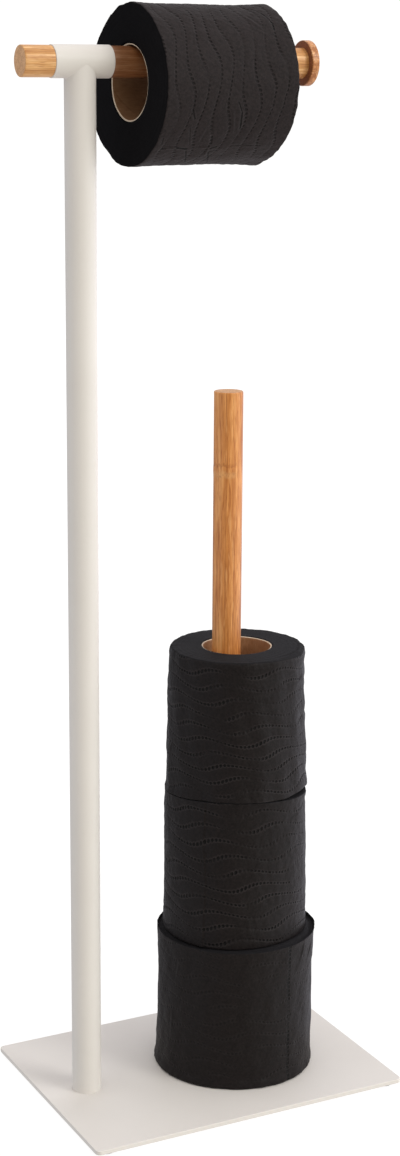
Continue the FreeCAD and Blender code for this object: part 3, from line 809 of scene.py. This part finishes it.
def make_rolls():
    # painted light: the stacked rolls' cores and tissue ends, which face up, use lighter copies of the cardboard (tone
    # 1.75 against 1.1) and of the tissue end (tone 1.9 against 1.0)
    inside, inside_painted_light, rim = core_inside("core_cardboard", 1.1), core_inside("core_cardboard_painted_light", 1.75), core_rim()
    end, end_painted_light = tissue_end("black_tissue_end", 0.03), tissue_end("black_tissue_end_painted_light", 0.15, 1.9)
    flat = lambda turn, share: 0.0 * turn * share

    # hanging roll: its own Z runs along the arm
    ca, sa = math.cos(HANG_YAW), math.sin(HANG_YAW)
    axis, e1, e2 = (ca, sa, 0.0), (-sa, ca, 0.0), (0.0, 0.0, 1.0)
    base = [HANG_C[i] - HANG_L / 2 * axis[i] for i in range(3)]
    girth = TAU * HANG_R
    # how far the rims stand out of round, and the far end out of square: (degrees, mm)
    low_rim = ((5, 0.8), (20, 0.5), (35, 0.4), (40, -0.2), (50, -0.45), (55, -0.55), (60, -0.2), (65, 0.1), (70, 0.45), (75, 0.8), (80, 0.2), (85, 0.55), (92, 0.75), (100, 0.85), (120, 0.5),
               (150, 0.3), (210, 0.3), (250, 0.5), (270, 0.6), (280, 1.0), (290, 1.4), (295, 1.15), (300, 0.8), (305, 0.9), (310, 1.7), (316, 2.3), (325, 2.8), (335, 2.4), (350, 1.5))
    high_rim = ((45, 0.5), (80, 0.7), (95, 0.9), (100, 1.7), (105, 1.6), (110, 1.2), (120, 1.0), (135, 1.0), (150, 0.8), (165, 0.9), (185, 0.7), (190, 0.3), (195, 0.5), (205, 0.3), (215, 0.1),
                (225, -0.3), (235, -0.5), (245, -0.5), (255, -0.3), (260, 0.2), (265, 1.3), (270, 1.7), (285, 1.0), (310, 0.6), (350, 0.4))
    high_reach = ((60, 0.0), (100, 0.3), (120, 0.45), (150, 0.45), (165, 0.6), (185, 0.5), (190, 0.1), (195, 0.3), (215, 0.0), (240, -0.3), (258, -0.1), (280, 0.0))
    spec = {
        "seed": 11, "rows": (6, 2.4, 9.6, 1.15, 116, 0.2), "wobble": 0.30, "ripple": 0.10, "rims": (0.9, 1.0),
        "tail": (60.0, 0.45, 0.5),
        "outline": lambda turn, z: -0.25 - 1.05 * np.sin(turn) + round_profile(turn, low_rim) * gauss(z, 9.0) + round_profile(turn, high_rim) * gauss(HANG_L - z, 17.0),
        "creases": ((231.4, 11.0, 1.52, 9.0, 0.7, 0.55), (231.0, 36.0, 1.60, 8.0, 0.6, 0.45), (233.0, 24.0, 1.45, 6.0, 0.8, 0.30), (230.6, 62.0, 1.57, 13.0, 0.6, 0.30),
                    (208.0, 50.0, 0.25, 12.0, 0.8, 0.30), (236.0, 40.0, 0.1, 7.0, 0.9, 0.35), (244.0, 18.0, 0.2, 8.0, 1.0, 0.35), (220.0, 30.0, -0.2, 9.0, 0.9, 0.25),
                    (128.0, 70.0, 0.5, 14.0, 1.2, 0.35), (150.0, 20.0, -0.3, 11.0, 1.0, 0.22), (120.0, 30.0, 0.15, 10.0, 1.0, 0.22)),
        "low_end": lambda turn, share: -0.5 * gauss(turn_gap(turn, 300), math.radians(45)) * share ** 2 + 0.5 * (1 - share),
        "high_end": lambda turn, share: round_profile(turn, high_reach) * share ** 2 - 0.4 * (1 - share),
    }
    at = lambda deg, v: (deg / 360 * girth, v)
    folds = [(at(d0, v0), at(d1, v1), w, k) for d0, v0, d1, v1, w, k in (
        (111.8, 77.7, 120.7, 81.6, 0.7, 0.7), (120.7, 81.6, 131.0, 83.8, 0.8, 0.9), (131.0, 83.8, 137.6, 83.4, 0.8, 0.9),
        (193.0, 51.1, 201.1, 54.7, 0.6, 0.8), (201.1, 54.7, 213.0, 55.9, 0.8, 1.0), (199.4, 19.3, 205.4, 21.5, 0.8, 0.7), (212.6, 19.8, 227.7, 24.2, 0.6, 0.5),
        (230.9, 16.5, 232.3, 23.8, 0.9, 1.0), (232.1, 40.4, 229.9, 44.6, 0.8, 1.0), (235.9, 42.0, 233.6, 46.1, 0.7, 0.8), (231.8, 5.4, 231.6, 8.2, 0.9, 0.9),
        (228.9, 56.0, 229.4, 76.9, 0.6, 0.5), (234.8, 24.5, 252.2, 31.5, 0.8, 0.8), (236.6, 41.2, 256.7, 49.7, 0.8, 0.8), (220.9, 37.9, 227.0, 39.8, 0.9, 0.6), (221.3, 3.4, 226.3, 3.7, 0.8, 0.6))]
    # painted light: the hanging roll's tissue is toned 1.35, lighter than the same tissue on the stacked rolls (0.74)
    paper = roll("hanging_roll_paper_wound", "hanging_roll", HANG_R, HANG_L, spec,
                 [tissue("black_tissue_hanging", girth, spec["rows"], ((51.0 / 360 * girth, 0.2),), folds, 0.62, 1.35, 0.045, 0.15), end])
    place(paper, e1, e2, axis, base)
    hold(paper, "hanging_roll", "black_tissue", "hanging_roll_paper")
    tube = core("hanging_roll_core_tube", HANG_L, 0.75, HANG_L - 0.65, [inside, rim], 5)
    place(tube, e1, e2, axis, base)
    hold(tube, "hanging_roll", "core_cardboard", "hanging_roll_core")

    # stored rolls; the seam between the top and middle one rides up in front
    def seam_top(turn, share):
        front = np.clip(np.cos(turn_gap(turn, 241.8)), 0, 1) ** 1.6
        return 4.2 * front * (0.25 + 0.75 * share)

    def seam_top_open(turn, share):
        return seam_top(turn, share) + 3.5 * gauss(turn_gap(turn, 316), math.radians(25)) * share ** 3

    def folded_rim(turn, share):
        right = gauss(turn_gap(turn, 314), math.radians(24))      # pressed down over a crease on the right
        return -0.2 * share ** 4 - right * (1.6 * smoothstep((share - 0.84) / 0.16) + 0.9 * gauss(share - 0.80, 0.03))

    def moat(turn, share):
        front = np.clip(np.cos(turn_gap(turn, 241.8)), 0, 1) ** 1.5
        rise = 0.9 * gauss(turn_gap(turn, 325), math.radians(16)) * share ** 6
        return rise - (2.2 - 1.7 * front) * smoothstep((share - 0.83) / 0.04) * smoothstep((0.985 - share) / 0.03)

    z = 5.1
    for nm, body, radius, x, extra in (
        ("spare_roll_bottom", "spare_bottom", 54.2, 32.5, {
            "seed": 31, "rows": (7, 2.4, 10.1, 1.05, 126, 0.1), "wobble": 0.35, "rims": (1.9, 0.5), "press": 0.3,
            "outline": lambda turn, z: side_profile(turn, z, 331.7, (
                (0, 2.0, 1.9), (4, 1.6, 1.8), (7, 0.8, 1.2), (13, 0.5, 1.1), (22, 0.2, 1.0), (35, -0.4, 1.2), (50, -0.6, 1.0), (64, -0.9, 1.0), (75, -1.0, 0.85), (79, -1.0, 1.4),
                (88, -0.8, 1.75), (97, -0.6, 2.1), (101, -0.6, 2.9))),
            "creases": ((300.0, 92.0, 1.2, 9.0, 0.9, 0.5), (312.0, 88.0, 0.9, 10.0, 1.0, 0.45), (196.0, 80.0, 1.3, 12.0, 1.0, 0.35), (190.0, 40.0, 1.5, 16.0, 1.2, 0.25)),
            "low_end": lambda turn, share: -0.2 + 0.0 * turn * share,
            "high_end": moat,
            "lines": ((285.2, 0.15),), "core_in": 1.3,
        }),
        ("spare_roll_middle", "spare_middle", 49.3, 32.2, {
            "seed": 53, "rows": (6, 2.5, 9.8, 1.2, 114, 0.45), "wobble": 0.25, "rims": (0.7, 0.8), "tail": (218.2, 0.5, 0.35),
            "outline": lambda turn, z: side_profile(turn, z, 331.7, (
                (0, 0.4, 0.8), (13, 0.2, 0.6), (30, -0.1, 0.45), (50, -0.2, 0.33), (64, -0.28, 0.4), (76, -0.35, 0.22), (88, -0.28, 0.08), (91, -0.6, 0.0), (94, -0.8, -0.28), (97, -0.95, 0.2), (101, -0.9, 0.65))),
            "creases": ((300.0, 88.0, 0.2, 9.0, 0.8, 0.3), (170.0, 50.0, 1.4, 12.0, 1.0, 0.25), (190.0, 75.0, 0.2, 8.0, 0.9, 0.25)),
            "low_end": flat, "high_end": seam_top,
            "lines": ((98.0, 0.15),),
        }),
        ("spare_roll_top", "spare_top", 47.7, 32.5, {
            "seed": 77, "rows": (6, 2.5, 9.6, 1.1, 112, 0.3), "wobble": 0.30, "ripple": 0.16, "rims": (0.8, 1.3),
            "outline": lambda turn, z: side_profile(turn, z, 331.7, (
                (0, 1.2, 2.0), (4, 0.0, 1.9), (7, -0.05, 1.6), (10, 0.0, 1.0), (16, -0.2, 1.1), (22, -0.4, 0.85), (28, -0.15, 0.8), (34, -0.35, 0.76), (37, -0.5, 0.35), (46, -0.7, 0.0), (52, -0.76, -0.1),
                (55, -0.7, -0.7), (61, -0.8, -0.42), (67, -0.75, -0.6), (70, -0.95, -1.0), (76, -0.7, -0.85), (79, -0.9, -1.15), (82, -1.15, -0.62), (88, -1.37, -1.2), (91, -1.5, -1.5),
                (94, -1.85, -0.9), (97, -1.85, -0.6), (101, -2.6, -1.2))),
            "creases": ((296.0, 90.0, 0.1, 12.0, 1.0, 0.35), (310.0, 84.0, 0.3, 8.0, 1.0, 0.35), (172.0, 30.0, 1.2, 12.0, 1.0, 0.30)),
            "low_end": seam_top_open,
            "high_end": folded_rim,
            "lines": ((20.0, 0.15),),
        }),
    ):
        girth = TAU * radius
        lines = [(deg / 360 * girth, wave) for deg, wave in extra.pop("lines")]
        # painted shade: the stacked rolls' tissue is toned 0.74, darker than the same tissue on the hanging roll (1.35)
        paper = roll(nm + "_paper_wound", body, radius, SPARE_L, extra, [tissue("black_tissue_" + body, girth, extra["rows"], lines, (), extra.get("press", 1.0), 0.74, 0.010, 0.140, (0.46, 0.60), 0.45), end_painted_light])
        place(paper, (1, 0, 0), (0, 1, 0), (0, 0, 1), (x, 0.0, z))
        hold(paper, body, "black_tissue", nm + "_paper")
        tube = core(nm + "_core_tube", SPARE_L, 0.6, SPARE_L - extra.get("core_in", 0.25), [inside_painted_light, rim], extra["seed"] + 9)
        place(tube, (1, 0, 0), (0, 1, 0), (0, 0, 1), (x, 0.0, z))
        hold(tube, body, "core_cardboard", nm + "_core")
        z += SPARE_L + 0.3


# ---------------------------------------------------------------- bamboo pieces
def arc_rows(r, h, k, a0, a1, n=4):
    """Points of a rounded edge: centre (r, h), radius k, from angle a0 to a1."""
    return [(r + k * math.cos(math.radians(a0 + (a1 - a0) * i / n)), h + k * math.sin(math.radians(a0 + (a1 - a0) * i / n))) for i in range(n + 1)]


def fibres(seed, lo, hi, amount=0.05, node=None, flats=0.0):
    """Lengthwise unevenness of the planed and sanded cane between two heights."""
    w = Waves(seed, 30, 24, 0.02)
    slow = Waves(seed + 1, 8, 3, 0.006)
    joint = Waves(seed + 2, 12, 7, 0.0)

    def shape(turn, h, r):
        if h < lo or h > hi:
            return 0.0 * turn
        d = amount * 0.5 * w(turn, h) + amount * slow(turn, h)
        if node is not None:
            at = node + 1.6 * joint(turn, 0.0 * turn)
            part = smoothstep((np.cos(turn - math.radians(215)) + 0.15) / 0.6)
            d = d + part * (0.16 * gauss(h - at + 3.0, 2.6) - 0.14 * gauss(h - at, 0.9))
        return d

    return shape


def make_bamboo():
    # storage rod, threaded-insert bore in its foot
    node_h = 430.3
    heights = [0.8] + list(np.arange(3.0, ROD_H - 1.5, 1.6))
    prof = [(0, 17.0), (4.5, 17.0), (4.5, 0.0), (ROD_R - 0.4, 0.0), (ROD_R, 0.4)]
    prof += [(ROD_R, h) for h in heights if h > 0.5] + [(ROD_R, ROD_H - 0.9)]
    prof += arc_rows(ROD_R - 0.8, ROD_H - 0.8, 0.8, 8, 90, 5)
    prof += [(ROD_R - 3.0, ROD_H + 0.02), (ROD_R - 6.0, ROD_H + 0.04), (0, ROD_H + 0.03)]
    rod = turned_mesh("storage_rod_bamboo", prof, 128, [bamboo("bamboo_rod", (0.0, 0.0, 0.0), node_h * MM, (0.98, 0.76, 0.54)), bamboo_end("bamboo_rod_end", (0.0, 0.0, 0.0), (1.15, 1.12, 1.08))], fibres(3, 2.0, ROD_H - 1.0, 0.05, node_h))
    place(rod, (1, 0, 0), (0, 1, 0), (0, 0, 1), (X_ROD, 0, Z_TOP))
    hold(rod, "stand", "bamboo", "storage_rod")

    # arm pieces: their own Z runs along the arm
    ax, ay, az = (0, 1, 0), (0, 0, 1), (1, 0, 0)
    prof = [(0, 0)] + [(ARM_R - 6.5, -0.02), (ARM_R - 3.0, -0.01)] + arc_rows(ARM_R - 0.6, 0.6, 0.6, -90, -6, 4)
    prof += [(ARM_R, h) for h in np.arange(1.4, PLUG_L - 0.3, 0.9)] + [(ARM_R, PLUG_L - 0.25), (ARM_R - 0.25, PLUG_L), (TENON_R, PLUG_L), (TENON_R, PLUG_L + 13.2), (TENON_R - 0.8, PLUG_L + 14.0), (0, PLUG_L + 14.0)]
    plug = turned_mesh("arm_end_plug_bamboo", prof, 112, [bamboo("bamboo_plug", (0.0021, 0.013, 0.31), None, (1.06, 1.07, 1.04)), bamboo_end("bamboo_plug_end", (0.0021, 0.013, 0.0), (1.15, 1.2, 1.3))], fibres(13, 1.0, PLUG_L - 0.5, 0.05))
    place(plug, ax, ay, az, (X_ARM0, 0, Z_ARM))
    hold(plug, "stand", "bamboo", "arm_end_plug")

    prof = [(0, -23.0), (TENON_R - 0.8, -23.0), (TENON_R, -22.2), (TENON_R, 0.0), (ARM_R - 0.2, 0.0), (ARM_R, 0.25)]
    prof += [(ARM_R, h) for h in np.arange(1.2, ARM_FREE_L - 0.6, 1.3)] + [(ARM_R, ARM_FREE_L), (DISC_TENON_R, ARM_FREE_L), (DISC_TENON_R, ARM_FREE_L + DISC_TENON_L), (0, ARM_FREE_L + DISC_TENON_L)]
    # the arm's colour has painted shade from the sleeve to 107 mm along, where the hanging roll shades it
    rod = turned_mesh("arm_rod_bamboo", prof, 112, [bamboo("bamboo_arm_painted_shade", (0.0007, 0.021, 0.62), None, (1.16, 1.15, 1.13), (-12.0, -2.0, 92.0, 107.0, 0.93)), bamboo_end("bamboo_arm_end", (0.0007, 0.021, 0.0))], fibres(23, 0.5, ARM_FREE_L - 0.5, 0.05))
    place(rod, ax, ay, az, (X_SL1, 0, Z_ARM))
    hold(rod, "stand", "bamboo", "arm_rod")

    d = DISC_R
    prof = [(0, DISC_TENON_L + 0.2), (DISC_TENON_R + 0.05, DISC_TENON_L + 0.2), (DISC_TENON_R + 0.05, 0.0)]
    prof += [(8.0, 0.0), (11.0, 0.0)] + arc_rows(d - 0.7, 0.7, 0.7, -90, 0, 5) + [(d, h) for h in np.arange(1.2, DISC_T - 0.9, 0.6)]
    prof += arc_rows(d - 0.7, DISC_T - 0.7, 0.7, 0, 90, 5) + [(11.0, DISC_T + 0.01), (7.0, DISC_T + 0.02), (3.5, DISC_T + 0.02), (0, DISC_T + 0.02)]
    # the disc's end grain is darker, and its tint (0.60, 0.40, 0.36) darker still as painted shade for the hanging
    # roll's shade on its inner face
    disc = turned_mesh("arm_stop_disc_bamboo", prof, 128, [bamboo("bamboo_disc", (0.0013, 0.008, 0.87), None, (1.02, 0.90, 0.90), None, 0.9), bamboo_end("bamboo_disc_end_with_painted_shade", (0.0013, 0.008, 0.0), (0.60, 0.40, 0.36))], fibres(33, 0.9, DISC_T - 0.9, 0.04))
    place(disc, ax, ay, az, (X_DISC0, 0, Z_ARM))
    hold(disc, "stand", "bamboo", "arm_stop_disc")


# ---------------------------------------------------------------- weld hollow between post and sleeve
def make_weld(material):
    """Smooth hollow all round the joint, as a ball of radius q rolls along post and sleeve."""
    q, n, steps = 0.7, 240, 8
    pts = np.zeros((steps + 3, n, 3))
    for j in range(n):
        phi = TAU * j / n
        c = np.array([(POST_R + q) * math.cos(phi), (POST_R + q) * math.sin(phi), 0.0])
        c[2] = -math.sqrt((SLEEVE_R + q) ** 2 - c[1] ** 2)
        on_post = np.array([POST_R * math.cos(phi), POST_R * math.sin(phi), c[2]])
        on_sleeve = np.array([c[0], c[1] * SLEEVE_R / (SLEEVE_R + q), c[2] * SLEEVE_R / (SLEEVE_R + q)])
        a, b = on_post - c, on_sleeve - c
        ang = math.acos(max(-1.0, min(1.0, float(a @ b) / q / q)))
        for i in range(steps + 1):
            t = i / steps
            v = a if ang < 1e-6 else (math.sin((1 - t) * ang) * a + math.sin(t * ang) * b) / math.sin(ang)
            pts[i, j] = c + v
        inner = 0.5 * (on_post + on_sleeve)
        deep = np.array([inner[0] * (POST_R - 0.6) / max(1e-6, math.hypot(inner[0], inner[1])), inner[1] * (POST_R - 0.6) / max(1e-6, math.hypot(inner[0], inner[1])), inner[2]])
        yz = math.hypot(deep[1], deep[2])
        deep_s = np.array([on_sleeve[0], on_sleeve[1] * (SLEEVE_R - 0.5) / SLEEVE_R, on_sleeve[2] * (SLEEVE_R - 0.5) / SLEEVE_R])
        deep_p = np.array([(POST_R - 0.5) * math.cos(phi), (POST_R - 0.5) * math.sin(phi), on_post[2]])
        pts[steps + 1, j] = deep_s
        pts[steps + 2, j] = deep_p
    uv = np.zeros((steps + 3, n + 1, 2))
    uv[..., 0] = np.arange(n + 1)[None, :] * TAU * POST_R / n
    uv[..., 1] = np.arange(steps + 3)[:, None] * 0.3
    weld = ring_mesh("head_weld_hollow", pts, uv, [0] * (steps + 3), [material])
    place(weld, (1, 0, 0), (0, 1, 0), (0, 0, 1), (X_POST, 0, Z_ARM))
    hold(weld, "stand", "white_powder_coat", "head_weld")


# ---------------------------------------------------------------- put together
make_camera()
make_studio()
coat = powder_coat()
dark = rubber()
zinc = metal("zinc_steel", (0.50, 0.50, 0.49), (0.66, 0.66, 0.65), 0.30)
gold = metal("insert_brass", (0.62, 0.44, 0.18), (0.80, 0.60, 0.28), 0.28)
for n, m in (
    ("base_plate", coat), ("post_tube", coat), ("arm_sleeve", coat),
    ("foot_front_left", dark), ("foot_front_right", dark), ("foot_rear_left", dark), ("foot_rear_right", dark),
    ("post_threaded_plug", zinc), ("post_screw", zinc), ("storage_rod_screw", zinc), ("storage_rod_insert", gold),
):
    mesh = nodes[n].data
    if not len(mesh.materials):
        mesh.materials.append(m)
    for i in range(len(mesh.materials)):
        mesh.materials[i] = m
make_weld(coat)
make_bamboo()
make_rolls()
